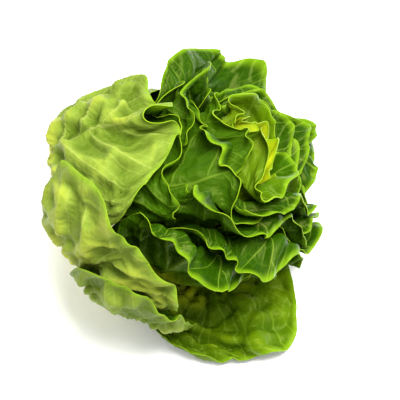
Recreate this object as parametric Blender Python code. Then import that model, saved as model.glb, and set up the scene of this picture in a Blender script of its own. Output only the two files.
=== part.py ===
"""Butterhead lettuce head: a cut stem and the leaves that grow from it, lying on its lowest leaf.

The head is modelled as if it stood on its stem, each leaf as a share of a family of bowls that fit one
inside another. Then the whole head is waved, leaned over and pressed on the surface at z = 0.
Units are metres and radians, +Z is up. Values whose comment says so are millimetres or degrees.
"""
import math
from collections import namedtuple

import bmesh
import bpy
import numpy as np

MM = 0.001

# Bowls that fit one inside another, from the heart (layer 0) to the lowest leaf (layer 1.3).
LAYERS = (0.0, 0.3, 0.6, 1.02, 1.10, 1.3)
LAST_LAYER = 1.4
# Where a leaf of each layer leaves the stem: radius and height (mm).
ROOT = ((3.5, 52), (9, 42), (12, 31), (14, 22), (15, 15), (16, 4))
# For each layer: the turn from the head's axis at the root (degrees), then radius, height and turn at
# the neck of the bowl and at its rim (mm, mm, degrees). One family for each side of the head.
OPEN_SIDE = dict(
    start=(30, 64, 84, 92, 96, 98),
    neck=((17, 100, 0), (36, 95, 2), (49, 83, 4), (61, 69, 8), (73, 52, 20), (98, 14, 58)),
    rim=((13, 138, -14), (38, 124, 30), (55, 119, 46), (69, 108, 54), (84, 94, 60), (136, 40, 62)),
)
FLARED_SIDE = dict(
    start=(30, 68, 92, 104, 130, 136),
    neck=((17, 100, 0), (38, 98, -4), (56, 84, -6), (76, 56, -4), (92, 42, -5), (101, 34, -7)),
    rim=((10, 142, -20), (46, 134, 80), (70, 112, 104), (94, 76, 112), (76, 92, -56), (84, 90, -44)),
)
OPEN_AZIMUTH = math.radians(15)
# Shares of a bowl's length: at its neck, at its rim and at the furthest point that a leaf may reach.
NECK, RIM, REACH = 0.56, 0.86, 1.12
PAST_RIM = 150  # length of a bowl from its rim on, for each whole share (mm)

# Waves that run through all the leaves alike: wave vector (rad/m), push (mm), phase (rad), and the
# heights (mm) between which they grow.
WAVES = (
    ((43, 31, 20), (3.0, -3.5, 2.0), 0.3, 10, 50),
    ((-37, 52, 24), (2.7, 3.0, -2.0), 1.9, 10, 50),
    ((72, 28, -40), (-4.0, 7.0, 2.0), 0.9, 45, 100),
    ((-24, 78, 36), (6.5, 3.0, 2.0), 2.6, 45, 100),
    ((96, -84, 50), (2.2, 2.6, 4.5), 4.0, 60, 110),
    ((110, 92, -60), (-2.0, 2.4, 4.0), 1.2, 60, 110),
)

# How the head lies: the stem's axis leans from upright towards its heading.
LEAN = math.radians(48)
HEADING = math.radians(18)
ROOT_PLACE = (-55 * MM, -28 * MM, 20 * MM)
PRESSED_BELOW = 14 * MM
SINK = 2 * MM
# How far the top of the head sags over to its lower side, and between which heights.
SAG = (26 * MM, -2 * MM, 0)
SAG_FROM, SAG_TO = 30 * MM, 140 * MM
# The lowest leaf ripples up from the surface in front of the head: the centre of its ripples, the
# distances from it and to the front over which they grow, how many would go round, and their height.
RIPPLE_CENTRE, RIPPLE_RADIUS = (10 * MM, -20 * MM), (30 * MM, 80 * MM)
RIPPLE_FRONT = (15 * MM, 45 * MM)
RIPPLES, RIPPLE_HEIGHT = 9, 12 * MM
# The lowest leaf touches the surface at a flat spot under its middle and at three points round the
# head's weight, and stands a little clear between them: place, radius of the flat, and distance from
# which it is clear (mm).
REST_SPOTS = ((0, 0, 20, 30), (-35.3, 13.1, 5, 25), (-8.5, -45.3, 4, 25), (65.8, -1.1, 5, 30))
CLEAR_HEIGHT = 0.6 * MM

THICKNESS = 0.8 * MM
GAP_AT_ROOT, GAP_AT_RIM = 0.064, 0.047  # least distance between two leaves (layers)
ROOT_GAP = 0.3  # between the stem and a leaf's root (mm)

# A leaf's outline: its width at the root as a share of its spread, how much it narrows at its corners,
# how sharply its length falls towards them, and the notches of its edge (share of length, count).
ROOT_WIDTH = 0.52
CORNER_TAPER, CORNER_POWER = 0.10, 3.2
NOTCHES = ((0.022, 5), (0.014, 11))
# A leaf's ruffles: share of its ruffle height, count against its own count, and the power of v by which
# they grow towards the rim. Then how far they slant, and how deep the leaf is cupped (layers).
RUFFLES = ((0.55, 1.0, 2), (0.50, 1.73, 3), (0.20, 3.1, 6))
RUFFLE_SLANT = 1.2
CUP, MOST_TILT = 0.02, 0.03
ROLL_FROM = 0.72

# azimuth, half spread (rad), layer, length (share of its bowl), corner (length at its sides, as a share
# of its own), height of its ruffles (layers), number of ruffles, outward roll of its rim (layers), how
# open it is at least, the seed of its ruffles, and its cells across and along
Leaf = namedtuple("Leaf", "name azimuth spread layer length corner ruffle waves roll least_open seed cells")

# The outer leaves, with azimuth and half spread in degrees.
OUTER = (
    ("leaf_floor", -24, 74, 1.30, 0.88, 0.25, 0.030, 2.4, 0.00, 1.0, 31, (22, 7)),
    ("leaf_front_low", -112, 40, 1.21, 0.58, 0.80, 0.010, 1.6, 0.00, 0.0, 12, (14, 6)),
    ("leaf_left", -145, 42, 1.16, 0.68, 0.92, 0.015, 2.0, 0.04, 0.0, 13, (18, 8)),
    ("leaf_left_back", 160, 50, 1.10, 0.97, 0.62, 0.015, 2.2, 0.00, 0.0, 15, (18, 8)),
    ("leaf_back", 98, 44, 1.06, 0.74, 0.66, 0.015, 2.4, 0.00, 0.0, 20, (16, 7)),
    ("leaf_right_low", -8, 46, 1.06, 0.72, 0.70, 0.020, 2.0, 0.00, 0.0, 22, (18, 7)),
    ("leaf_front_outer", -112, 48, 0.96, 0.94, 0.78, 0.050, 2.2, 0.00, 0.0, 21, (20, 8)),
    ("leaf_right", -4, 44, 0.96, 0.95, 0.60, 0.030, 1.8, 0.00, 0.0, 16, (18, 8)),
    ("leaf_top", 78, 44, 0.92, 1.04, 0.70, 0.030, 1.6, 0.00, 0.0, 17, (18, 8)),
    ("leaf_far", 38, 46, 0.84, 0.95, 0.66, 0.020, 1.6, 0.00, 0.0, 18, (18, 8)),
    ("leaf_front", -96, 43, 0.80, 0.97, 0.74, 0.060, 2.4, 0.00, 0.0, 19, (22, 9)),
)

# The inner leaves follow one another round the heart. A pair holds the value at the heart and the
# value at the outermost of them.
INNER_COUNT, INNER_SEED = 16, 900
GOLDEN_ANGLE, FIRST_INNER_AZIMUTH = 137.508, 40  # degrees
INNER_SPREAD = (84, 56)  # degrees
INNER_LAYER, INNER_LAYER_POWER = (0.02, 0.78), 0.9
INNER_RUFFLE = (0.060, 0.095)
INNER_WAVES = (2.0, 3.0)
INNER_CORNER = 0.78
INNER_LENGTH, FULL_LENGTH_FROM = (0.85, 1.01), 0.38
UNEVEN_LENGTH, UNEVEN_TURN = 0.03, 2.1
SHORTER_FAR, FAR_AZIMUTH = 0.17, math.radians(-30)
SHORTER_LEFT, LEFT_AZIMUTH = 0.20, math.radians(160)
HEART_LEAVES, HEART_CELLS, INNER_CELLS = 4, (14, 5), (18, 8)

# Cells of the grid on which a leaf is laid, and of the map of what is already covered.
LAY_ACROSS, LAY_ALONG, DENSER = 96, 48, 4
SMOOTHINGS = 10
MAP_TURN, MAP_LENGTH = 360, 96
TABLE_ROWS, TABLE_COLS = 141, 113
RIM_CROWDING = 1.3  # rows of a leaf's own grid crowd towards its rim

# The cut stem: its radius and height at the cut face (mm), and its sides.
CUT_FACE = ((0, -5), (12.5, -5), (14.5, -3.5))
STEM_SIDES = 20

HEART_GREEN, INNER_GREEN, OUTER_GREEN = (0.52, 0.60, 0.05), (0.14, 0.34, 0.02), (0.10, 0.30, 0.02)
PALE_GREEN, STEM_WHITE = (0.45, 0.60, 0.22), (0.78, 0.80, 0.58)
LEAF_ROUGHNESS, STEM_ROUGHNESS = 0.4, 0.6


def between(first, second, f):
    """What lies at share f between two numbers or two lists of numbers."""
    return np.array(first, float) * (1 - f) + np.array(second, float) * f


def ease(x, low, high):
    """Smooth step from 0 at low to 1 at high."""
    k = np.clip((x - low) / (high - low), 0, 1)
    return k * k * (3 - 2 * k)


def arc(start, start_turn, end, end_turn, t):
    """Cubic curve between two points with given turns from the axis, at t from 0 to 1."""
    leave = np.array([math.sin(start_turn), math.cos(start_turn)])
    arrive = np.array([math.sin(end_turn), math.cos(end_turn)])
    half = max(abs(end_turn - start_turn) / 2, 0.01)
    speed = math.dist(start, end) * half / math.sin(half)
    t = t[:, None]
    return ((2 * t**3 - 3 * t**2 + 1) * start + (t**3 - 2 * t**2 + t) * speed * leave
            + (3 * t**2 - 2 * t**3) * end + (t**3 - t**2) * speed * arrive)


def bowl_table(side):
    """Radius and height of the bowls of one side of the head, for every layer and share of length."""
    share = np.linspace(0, REACH, TABLE_COLS)
    past_rim = np.clip(share - RIM, 0, 1)[:, None] * PAST_RIM
    radius, height = [], []
    for layer in np.linspace(0, LAST_LAYER, TABLE_ROWS):
        k = min(int(np.searchsorted(LAYERS, layer, "right")) - 1, len(LAYERS) - 2)
        f = (layer - LAYERS[k]) / (LAYERS[k + 1] - LAYERS[k])
        lists = (ROOT, side["start"], side["neck"], side["rim"])
        root, start, neck, rim = (between(values[k], values[k + 1], f) for values in lists)
        start, at_neck, at_rim = np.radians([start, neck[2], rim[2]])
        low = arc(root, start, neck[:2], at_neck, np.clip(share / NECK, 0, 1))
        high = arc(neck[:2], at_neck, rim[:2], at_rim, np.clip((share - NECK) / (RIM - NECK), 0, 1))
        high += past_rim * np.array([math.sin(at_rim), math.cos(at_rim)])
        points = np.where(share[:, None] < NECK, low, high) * MM
        radius.append(points[:, 0])
        height.append(points[:, 1])
    return np.array(radius), np.array(height)


OPEN_RADIUS, OPEN_HEIGHT = bowl_table(OPEN_SIDE)
FLARED_RADIUS, FLARED_HEIGHT = bowl_table(FLARED_SIDE)


def look_up(table, row, col):
    """A table read between its rows and columns."""
    row = np.clip(row, 0, table.shape[0] - 1.0001)
    col = np.clip(col, 0, table.shape[1] - 1.0001)
    i, j = row.astype(int), col.astype(int)
    a, b = row - i, col - j
    return (table[i, j] * (1 - a) * (1 - b) + table[i + 1, j] * a * (1 - b)
            + table[i, j + 1] * (1 - a) * b + table[i + 1, j + 1] * a * b)


def outline(leaf, u, v):
    """Turn about the head's axis and share of length, at u across (-1 to 1) and v outwards (0 to 1)."""
    rng = np.random.default_rng(leaf.seed + 1000)
    at_root = leaf.spread * ROOT_WIDTH
    at_side = leaf.spread * (1 - CORNER_TAPER * np.abs(u) ** 3)
    turn = leaf.azimuth + u * (at_root + (at_side - at_root) * np.sin(np.pi / 2 * v) ** 0.8)
    notch = sum(size * np.sin(count * u + rng.uniform(0, 6)) for size, count in NOTCHES)
    share = leaf.length * v * (1 - (1 - leaf.corner) * np.abs(u) ** CORNER_POWER + notch * v**2)
    return turn, share


def own_layer(leaf, u, v):
    """The layer that a leaf would take by itself, with its ruffles and its rolled rim."""
    rng = np.random.default_rng(leaf.seed)
    wave = np.zeros_like(u)
    for size, count, power in RUFFLES:
        phase = rng.uniform(0, 2 * math.pi)
        wave += size * np.sin(math.pi * leaf.waves * count * u + phase + RUFFLE_SLANT * (1 - v)) * v**power
    cup = -CUP * np.cos(math.pi * u) * v
    tilt = rng.uniform(-MOST_TILT, MOST_TILT) * u * v
    return leaf.layer + leaf.ruffle * wave + cup + tilt + leaf.roll * ease(v, ROLL_FROM, 1.0) ** 1.5


def smooth(field):
    """One pass of averaging with the neighbours."""
    f = np.pad(field, 1, mode="edge")
    return (f[1:-1, 1:-1] * 4 + (f[:-2, 1:-1] + f[2:, 1:-1] + f[1:-1, :-2] + f[1:-1, 2:]) * 2) / 12


def grid(across, along):
    """Values of u and v on a grid over a leaf."""
    return np.meshgrid(np.linspace(-1, 1, across + 1), np.linspace(0, 1, along + 1))


def map_cell(turn, share):
    """Where a turn and a share of length lie on the map of what is covered."""
    return np.degrees(turn) % 360 * MAP_TURN / 360, share / REACH * MAP_LENGTH


def lay(leaves):
    """Lays the leaves one on another from the heart out: the layer of each leaf over its grid."""
    u, v = grid(LAY_ACROSS, LAY_ALONG)
    dense_u, dense_v = grid(DENSER * LAY_ACROSS, DENSER * LAY_ALONG)
    covered = np.full((MAP_TURN, MAP_LENGTH + 1), -1.0)
    laid = {}
    for leaf in leaves:
        turn, share = outline(leaf, u, v)
        row, col = map_cell(turn, share)
        i, j = np.clip(row.astype(int), 0, MAP_TURN - 1), np.clip(col.astype(int), 0, MAP_LENGTH - 1)
        ring = np.vstack([covered, covered[:1]])
        under = np.maximum.reduce([ring[i, j], ring[i + 1, j], ring[i, j + 1], ring[i + 1, j + 1]])
        gap = between(GAP_AT_ROOT, GAP_AT_RIM, np.clip(share, 0, 1))
        least = np.where(under < 0, -1.0, under + gap)
        layer = np.maximum(own_layer(leaf, u, v), least)
        for _ in range(SMOOTHINGS):
            layer = np.maximum(smooth(layer), least)
        laid[leaf.name] = layer = np.clip(layer, 0, LAST_LAYER - 0.01)
        value = look_up(layer, dense_v * LAY_ALONG, (dense_u + 1) / 2 * LAY_ACROSS)
        row, col = map_cell(*outline(leaf, dense_u, dense_v))
        i, j = np.round(row).astype(int), np.round(col).astype(int)
        for di in (-1, 0, 1):
            for dj in (-1, 0, 1):
                np.maximum.at(covered, ((i + di) % MAP_TURN, np.clip(j + dj, 0, MAP_LENGTH)), value)
    return laid


def place(turn, share, layer, least_open):
    """A point of a bowl, in the head as it would stand on its stem."""
    row = layer / LAST_LAYER * (TABLE_ROWS - 1)
    col = share / REACH * (TABLE_COLS - 1)
    w = np.maximum(0.5 + 0.5 * np.cos(turn - OPEN_AZIMUTH), least_open)
    radius = look_up(OPEN_RADIUS, row, col) * w + look_up(FLARED_RADIUS, row, col) * (1 - w)
    height = look_up(OPEN_HEIGHT, row, col) * w + look_up(FLARED_HEIGHT, row, col) * (1 - w)
    return np.stack([radius * np.cos(turn), radius * np.sin(turn), height], -1)


def rise(x, y):
    """Height of the lowest leaf above the surface, with its ripples, off the spots that it rests on."""
    off_spots = 1.0
    for spot_x, spot_y, flat, clear in REST_SPOTS:
        off_spots = off_spots * ease(np.hypot(x - spot_x * MM, y - spot_y * MM), flat * MM, clear * MM)
    x, y = x - RIPPLE_CENTRE[0], y - RIPPLE_CENTRE[1]
    out = ease(np.hypot(x, y), *RIPPLE_RADIUS) * ease(-y, *RIPPLE_FRONT)
    ripple = RIPPLE_HEIGHT * out * (0.5 + 0.5 * np.sin(RIPPLES * np.arctan2(y, x)))
    return (CLEAR_HEIGHT + ripple) * off_spots


def lie(points):
    """From the standing head to the head as it lies: waved, sagging, leaned over and pressed down."""
    points = np.array(points, float)
    for wave, push, phase, low, high in WAVES:
        swing = np.sin(points @ np.array(wave, float) + phase) * ease(points[..., 2], low * MM, high * MM)
        points = points + swing[..., None] * np.array(push) * MM
    points = points + ease(points[..., 2], SAG_FROM, SAG_TO)[..., None] * np.array(SAG)
    cl, sl, ch, sh = math.cos(LEAN), math.sin(LEAN), math.cos(HEADING), math.sin(HEADING)
    lean = np.array([[cl, 0, sl], [0, 1, 0], [-sl, 0, cl]])
    head = np.array([[ch, -sh, 0], [sh, ch, 0], [0, 0, 1]])
    points = points @ (head @ lean).T + np.array(ROOT_PLACE)
    z = points[..., 2]
    pressed = PRESSED_BELOW * np.exp(np.minimum(z / PRESSED_BELOW - 1, 0))
    low = np.maximum(np.where(z > PRESSED_BELOW, z, pressed) - SINK, THICKNESS / 2)
    points[..., 2] = low + rise(points[..., 0], points[..., 1]) * ease(-z, -5 * MM, 10 * MM)
    return points


def leaf_points(leaf, layer, u, v):
    """Points of a leaf's middle surface."""
    turn, share = outline(leaf, u, v)
    level = look_up(layer, v * LAY_ALONG, (u + 1) / 2 * LAY_ACROSS)
    return lie(place(turn, share, level, leaf.least_open))


def outer_leaves():
    """The large leaves outside, each from its own row of the table."""
    return [Leaf(name, math.radians(azimuth), math.radians(spread), *rest)
            for name, azimuth, spread, *rest in OUTER]


def inner_leaves():
    """The leaves of the heart, each turned from the last by the golden angle."""
    leaves = []
    for k in range(INNER_COUNT):
        f = (k + 0.5) / INNER_COUNT
        azimuth = math.radians((k * GOLDEN_ANGLE + FIRST_INNER_AZIMUTH) % 360)
        far = 0.5 + 0.5 * math.cos(azimuth - FAR_AZIMUTH)
        left = 0.5 + 0.5 * math.cos(azimuth - LEFT_AZIMUTH)
        length = between(*INNER_LENGTH, min(1, f / FULL_LENGTH_FROM))
        length += UNEVEN_LENGTH * math.sin(k * UNEVEN_TURN)
        leaves.append(Leaf(
            name=f"leaf_inner_{k + 1:02d}",
            azimuth=azimuth,
            spread=math.radians(between(*INNER_SPREAD, f)),
            layer=between(*INNER_LAYER, f**INNER_LAYER_POWER),
            length=length - SHORTER_FAR * far - SHORTER_LEFT * left**4,
            corner=INNER_CORNER,
            ruffle=between(*INNER_RUFFLE, f),
            waves=between(*INNER_WAVES, f),
            roll=0.0,
            least_open=0.0,
            seed=INNER_SEED + k,
            cells=HEART_CELLS if k < HEART_LEAVES else INNER_CELLS))
    return leaves


def material(name, colour, roughness):
    """A plain surface of one colour."""
    made = bpy.data.materials.new(name)
    made.use_nodes = True
    shader = made.node_tree.nodes["Principled BSDF"]
    shader.inputs["Base Color"].default_value = (*colour, 1)
    shader.inputs["Roughness"].default_value = roughness
    return made


def add_object(name, shape, colour, roughness):
    """A mesh object from a bmesh, shaded smooth, with its own material."""
    mesh = bpy.data.meshes.new(name)
    shape.to_mesh(mesh)
    shape.free()
    mesh.shade_smooth()
    mesh.materials.append(material(name, colour, roughness))
    made = bpy.data.objects.new(name, mesh)
    bpy.context.scene.collection.objects.link(made)
    return made


def leaf_colour(leaf):
    """Yellow at the heart, green outside, and pale where a leaf shows its underside."""
    if leaf.layer <= 0.85:
        return between(HEART_GREEN, INNER_GREEN, min(1, leaf.layer * 3))
    if leaf.layer > 1 and leaf.least_open == 0:
        return PALE_GREEN
    return OUTER_GREEN


def make_leaf(leaf, layer):
    """A leaf: a grid laid on its middle surface, split into triangles and given its thickness."""
    across, along = leaf.cells
    shape = bmesh.new()
    bmesh.ops.create_grid(shape, x_segments=across, y_segments=along, size=1)
    flat = np.array([vert.co[:2] for vert in shape.verts])
    u, t = flat[:, 0], (flat[:, 1] + 1) / 2
    points = leaf_points(leaf, layer, u, 1 - (1 - t) ** RIM_CROWDING)
    for vert, point in zip(shape.verts, points):
        vert.co = point
    bmesh.ops.triangulate(shape, faces=shape.faces, quad_method="SHORT_EDGE")
    made = add_object(leaf.name, shape, leaf_colour(leaf), LEAF_ROUGHNESS)
    solid = made.modifiers.new("thickness", "SOLIDIFY")
    solid.thickness = THICKNESS
    solid.offset = 0
    return made


def make_stem():
    """The cut stem: a turned stump that narrows towards the heart, clear of every root."""
    clear = THICKNESS / 2 / MM + ROOT_GAP
    profile = list(CUT_FACE)
    profile += [(radius - clear, height) for radius, height in reversed(ROOT)]
    profile += [(0, ROOT[0][1] + 1)]
    shape = bmesh.new()
    verts = [shape.verts.new((radius * MM, 0, height * MM)) for radius, height in profile]
    edges = [shape.edges.new(pair) for pair in zip(verts, verts[1:])]
    bmesh.ops.spin(
        shape, geom=verts + edges, axis=(0, 0, 1), cent=(0, 0, 0), steps=STEM_SIDES, angle=2 * math.pi)
    bmesh.ops.remove_doubles(shape, verts=shape.verts, dist=0.01 * MM)
    points = lie([vert.co for vert in shape.verts])
    for vert, point in zip(shape.verts, points):
        vert.co = point
    bmesh.ops.recalc_face_normals(shape, faces=shape.faces)
    return add_object("stem", shape, STEM_WHITE, STEM_ROUGHNESS)


def main():
    for old in list(bpy.data.objects):
        bpy.data.objects.remove(old)
    leaves = sorted(inner_leaves() + outer_leaves(), key=lambda leaf: leaf.layer)
    laid = lay(leaves)
    make_stem()
    for leaf in leaves:
        make_leaf(leaf, laid[leaf.name])


main()
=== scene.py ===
# %% [markdown]
# # A butterhead lettuce, lying on its side
#
# A loose head of lettuce is a short stem with some thirty leaves on it, each a thin, puffed and waved
# sheet. The frame brings it as faceted solids of real size, one for each leaf. This notebook lays every
# leaf again from the same rules, on a grid fine enough for blisters, ribs and crimped rims, and gives it
# the finish of a wet leaf. The solids stay for collision.

# %% Load the frame
import math
from collections import namedtuple

import bmesh
import bpy
import numpy as np
from mathutils import Matrix, Vector
from mathutils.bvhtree import BVHTree


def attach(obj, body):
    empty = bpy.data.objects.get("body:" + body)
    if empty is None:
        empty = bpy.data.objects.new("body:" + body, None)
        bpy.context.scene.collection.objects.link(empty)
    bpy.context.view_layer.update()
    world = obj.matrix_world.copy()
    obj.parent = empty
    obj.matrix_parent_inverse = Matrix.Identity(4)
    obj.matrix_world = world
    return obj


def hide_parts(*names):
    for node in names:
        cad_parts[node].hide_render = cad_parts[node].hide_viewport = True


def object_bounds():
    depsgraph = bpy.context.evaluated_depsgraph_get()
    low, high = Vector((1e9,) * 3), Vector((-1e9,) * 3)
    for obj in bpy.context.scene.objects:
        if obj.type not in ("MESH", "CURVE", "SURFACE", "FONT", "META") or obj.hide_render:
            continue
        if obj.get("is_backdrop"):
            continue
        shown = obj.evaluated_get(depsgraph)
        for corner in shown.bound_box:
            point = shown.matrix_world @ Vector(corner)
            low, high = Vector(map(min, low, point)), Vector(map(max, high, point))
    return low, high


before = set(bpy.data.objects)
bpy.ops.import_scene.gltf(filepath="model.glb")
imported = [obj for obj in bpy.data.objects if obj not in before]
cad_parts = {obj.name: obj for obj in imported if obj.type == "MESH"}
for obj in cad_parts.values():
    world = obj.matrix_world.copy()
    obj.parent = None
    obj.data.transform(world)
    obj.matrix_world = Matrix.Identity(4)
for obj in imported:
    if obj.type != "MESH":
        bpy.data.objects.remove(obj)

cad_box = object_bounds()
MM = 0.001
print("head", [round((high - low) / MM) for low, high in zip(*cad_box)], "mm")
print("nodes", len(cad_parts))

# %% [markdown]
# ## Camera
#
# The photograph looks down at about 62 degrees, from far enough that near and far leaves keep their
# sizes. A long lens at 1.2 m does the same.

# %% Camera
CAMERA_ELEVATION = math.radians(62)
CAMERA_DISTANCE = 1.2  # m
LENS_MM = 154
AIM = Vector((3 * MM, -13 * MM, 41 * MM))



def aimed(data, place, aim):
    """A camera or lamp in the scene, at a place and turned to its aim."""
    made = bpy.data.objects.new(data.name, data)
    made.location = place
    made.rotation_euler = (aim - place).to_track_quat("-Z", "Y").to_euler()
    bpy.context.scene.collection.objects.link(made)
    return made


towards_camera = Vector((0, -math.cos(CAMERA_ELEVATION), math.sin(CAMERA_ELEVATION)))
camera = aimed(bpy.data.cameras.new("camera"), AIM + towards_camera * CAMERA_DISTANCE, AIM)
camera.data.lens = LENS_MM
bpy.context.scene.camera = camera
print("camera at", [round(x, 3) for x in camera.location])

# %% [markdown]
# ## Helpers for finishes and pieces
#
# Colours are written as hex values, as a painter's chart gives them, and one function makes them the
# linear numbers that a shader expects. Another adds a node to a material, with its settings and its
# inputs. A third puts a finished bmesh in the scene. Nodes could be wired by hand in the editor, but then
# nobody can read why each is there.

# %% Colours and nodes
def linear(code):
    """Linear colour from an sRGB hex code."""
    parts = [int(code[k:k + 2], 16) / 255 for k in (1, 3, 5)]
    return tuple(x / 12.92 if x <= 0.04045 else ((x + 0.055) / 1.055) ** 2.4 for x in parts) + (1,)


def add(tree, kind, inputs=(), **settings):
    """A node of a tree, with its settings made and its inputs, listed or by name, set or linked."""
    made = tree.nodes.new("ShaderNode" + kind)
    for name, value in settings.items():
        setattr(made, name, value)
    for socket, value in inputs.items() if isinstance(inputs, dict) else enumerate(inputs):
        if isinstance(value, bpy.types.Node):
            value = value.outputs[0]
        if isinstance(value, bpy.types.NodeSocket):
            tree.links.new(value, made.inputs[socket])
        else:
            made.inputs[socket].default_value = value
    return made


def new_material(name):
    """An empty material and its node tree."""
    made = bpy.data.materials.new(name)
    made.use_nodes = True
    made.node_tree.nodes.clear()
    return made, made.node_tree


def put_in_scene(name, shape, *materials):
    """An object from a bmesh, which is used up, with its materials, smoothly shaded."""
    mesh = bpy.data.meshes.new(name)
    shape.to_mesh(mesh)
    shape.free()
    mesh.shade_smooth()
    for material in materials:
        mesh.materials.append(material)
    made = bpy.data.objects.new(name, mesh)
    bpy.context.scene.collection.objects.link(made)
    return made


print("leaf green as linear colour", [round(x, 3) for x in linear("#4a8c0c")])

# %% [markdown]
# ## Floor
#
# The head lies on matte white paper, which is fibres pressed flat. One plain colour would do, but a trace
# of unevenness keeps the soft shadow from looking drawn.

# %% Floor
FLOOR_SIZE = 6.0  # m
PAPER_GRAIN_MM, PAPER_RELIEF_MM = 0.8, 0.1

# uncoated paper scatters light evenly, so it shows no highlight
paper, tree = new_material("matte_white_paper")
on_floor = add(tree, "TexCoord").outputs["Object"]
grain = add(tree, "TexNoise", {"Vector": on_floor, "Scale": 1 / (PAPER_GRAIN_MM * MM)})
bump = add(tree, "Bump", {
    "Height": grain, "Strength": 0.05, "Distance": PAPER_RELIEF_MM * MM})
surface = add(tree, "BsdfPrincipled", {
    "Base Color": linear("#fbfbfb"), "Roughness": 0.9, "Normal": bump})
add(tree, "OutputMaterial", {"Surface": surface})

sheet_of_paper = bmesh.new()
bmesh.ops.create_grid(sheet_of_paper, x_segments=1, y_segments=1, size=FLOOR_SIZE / 2)
put_in_scene("floor", sheet_of_paper, paper)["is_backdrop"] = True
print("floor", FLOOR_SIZE, "m square")

# %% [markdown]
# ## Light
#
# A white room lights the head from all sides, and one broad lamp hangs nearly over it, a little to the
# right and behind. A small lamp would draw a hard shadow. This one leaves a pool of shade close under
# the head.

# %% Light
ROOM_LIGHT = 0.95
LAMP_PLACE, LAMP_SIZE, LAMP_WATTS = Vector((0.30, 0.14, 1.3)), 0.9, 50  # m, m, W

white_room = bpy.data.worlds.new("white_room")
white_room.use_nodes = True
background = white_room.node_tree.nodes["Background"]
background.inputs["Color"].default_value = (1, 1, 1, 1)
background.inputs["Strength"].default_value = ROOM_LIGHT
bpy.context.scene.world = white_room
lamp = aimed(bpy.data.lights.new("broad_lamp", "AREA"), LAMP_PLACE, Vector())
lamp.data.size = LAMP_SIZE
lamp.data.energy = LAMP_WATTS
bpy.context.scene.view_settings.view_transform = "Standard"
print("lamp", LAMP_SIZE, "m across at", [round(x, 2) for x in LAMP_PLACE])

# %% [markdown]
# ## Bowls that fit one inside another
#
# The leaves of a head wrap each other like bowls, and they must not cross. So the head is first thought
# of standing on its stem, in bowls numbered from the heart (layer 0) to the lowest leaf (layer 1.3). A
# leaf runs some way round and some way out in them, and its layer rises and falls gently as it ruffles.
# Two leaves with different layers can't meet.
#
# Each bowl is drawn by its root, neck and rim. One side of this head is open and the other flares over,
# so there are two families, mixed by the turn.

# %% The shape of the bowls
LAYERS = (0.0, 0.3, 0.6, 1.02, 1.10, 1.3)
LAST_LAYER = 1.4
# radius and height where a leaf of each layer leaves the stem (mm)
ROOT = ((3.5, 52), (9, 42), (12, 31), (14, 22), (15, 15), (16, 4))
# turn from the head's axis at the root, then radius, height and turn at the neck and at the rim
OPEN_SIDE = dict(
    start=(30, 64, 84, 92, 96, 98),
    neck=((17, 100, 0), (36, 95, 2), (49, 83, 4), (61, 69, 8), (73, 52, 20), (98, 14, 58)),
    rim=((13, 138, -14), (38, 124, 30), (55, 119, 46), (69, 108, 54), (84, 94, 60), (136, 40, 62)),
)
FLARED_SIDE = dict(
    start=(30, 68, 92, 104, 130, 136),
    neck=((17, 100, 0), (38, 98, -4), (56, 84, -6), (76, 56, -4), (92, 42, -5), (101, 34, -7)),
    rim=((10, 142, -20), (46, 134, 80), (70, 112, 104), (94, 76, 112), (76, 92, -56), (84, 90, -44)),
)
OPEN_AZIMUTH = math.radians(15)
NECK, RIM, REACH = 0.56, 0.86, 1.12  # shares of a leaf's length, and where the tables end
PAST_RIM = 150  # mm that a bowl runs straight on past its rim, for one share
print(len(LAYERS), "bowls are drawn")

# %% [markdown]
# The bowls between the drawn ones are blended from their neighbours and kept as tables of radius and
# height, by layer and share of length. A table is read much faster than a curve is solved.

# %% Tables of the bowls
TABLE_ROWS, TABLE_COLS = 141, 113


def between(first, second, f):
    """What lies at share f between two numbers or two lists of numbers."""
    return np.array(first, float) * (1 - f) + np.array(second, float) * f


def ease(x, low, high):
    """Smooth step from 0 at low to 1 at high."""
    k = np.clip((x - low) / (high - low), 0, 1)
    return k * k * (3 - 2 * k)


def arc(start, start_turn, end, end_turn, t):
    """Cubic curve between two points with given turns from the axis, at t from 0 to 1."""
    leave = np.array([math.sin(start_turn), math.cos(start_turn)])
    arrive = np.array([math.sin(end_turn), math.cos(end_turn)])
    half = max(abs(end_turn - start_turn) / 2, 0.01)
    speed = math.dist(start, end) * half / math.sin(half)
    t = t[:, None]
    return ((2 * t**3 - 3 * t**2 + 1) * start + (t**3 - 2 * t**2 + t) * speed * leave
            + (3 * t**2 - 2 * t**3) * end + (t**3 - t**2) * speed * arrive)


def bowl_table(side):
    """Radius and height of one side's bowls, by layer and share of length."""
    share = np.linspace(0, REACH, TABLE_COLS)
    past_rim = np.clip(share - RIM, 0, 1)[:, None] * PAST_RIM
    table = []
    for layer in np.linspace(0, LAST_LAYER, TABLE_ROWS):
        k = min(int(np.searchsorted(LAYERS, layer, "right")) - 1, len(LAYERS) - 2)
        f = (layer - LAYERS[k]) / (LAYERS[k + 1] - LAYERS[k])
        lists = (ROOT, side["start"], side["neck"], side["rim"])
        root, start, neck, rim = (between(values[k], values[k + 1], f) for values in lists)
        start, at_neck, at_rim = np.radians([start, neck[2], rim[2]])
        low = arc(root, start, neck[:2], at_neck, np.clip(share / NECK, 0, 1))
        high = arc(neck[:2], at_neck, rim[:2], at_rim, np.clip((share - NECK) / (RIM - NECK), 0, 1))
        high += past_rim * np.array([math.sin(at_rim), math.cos(at_rim)])
        table.append(np.where(share[:, None] < NECK, low, high) * MM)
    return np.moveaxis(np.array(table), -1, 0)


OPEN_BOWLS, FLARED_BOWLS = bowl_table(OPEN_SIDE), bowl_table(FLARED_SIDE)
print("widest bowls", [round(bowls[0].max() / MM) for bowls in (OPEN_BOWLS, FLARED_BOWLS)], "mm")

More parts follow.
